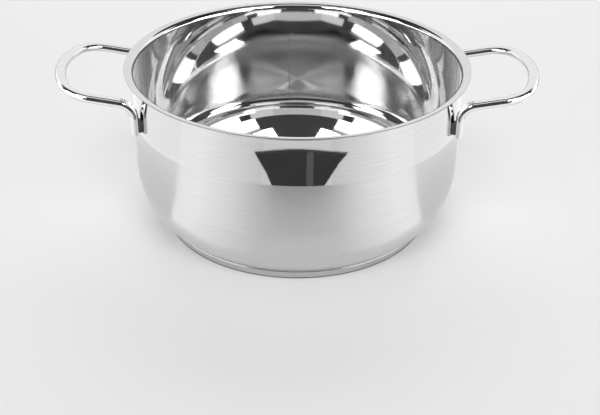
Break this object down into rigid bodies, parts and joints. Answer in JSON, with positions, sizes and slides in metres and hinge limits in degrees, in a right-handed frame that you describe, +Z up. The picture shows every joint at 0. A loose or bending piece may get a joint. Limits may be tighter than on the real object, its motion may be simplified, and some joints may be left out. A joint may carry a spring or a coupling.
{
  "type": "cooking pot",
  "caption": "Round stainless-steel casserole with a flared pouring rim, curved belly, encapsulated base and two welded loop handles.",
  "frame": {"origin": "centre of the base's underside, on the pot's axis", "axes": "+Z up along the pot's axis; +X towards the right handle; -Y is the side that faces the viewer"},
  "size_m": [0.3492, 0.25, 0.1235],
  "materials": {
    "bowl_steel": "polished inside and on the upper band, satin brushed below",
    "base_steel": "satin, turned",
    "core_aluminium": "plain",
    "handle_steel": "polished",
    "weld_steel": "cleaned weld"
  },
  "bodies": {
    "root": {"bowl": "bowl_steel", "base_cap": "base_steel", "base_core": "core_aluminium", "handle_left": "handle_steel", "handle_right": "handle_steel", "weld_left_front": "weld_steel", "weld_left_rear": "weld_steel", "weld_right_front": "weld_steel", "weld_right_rear": "weld_steel"}
  },
  "joints": []
}
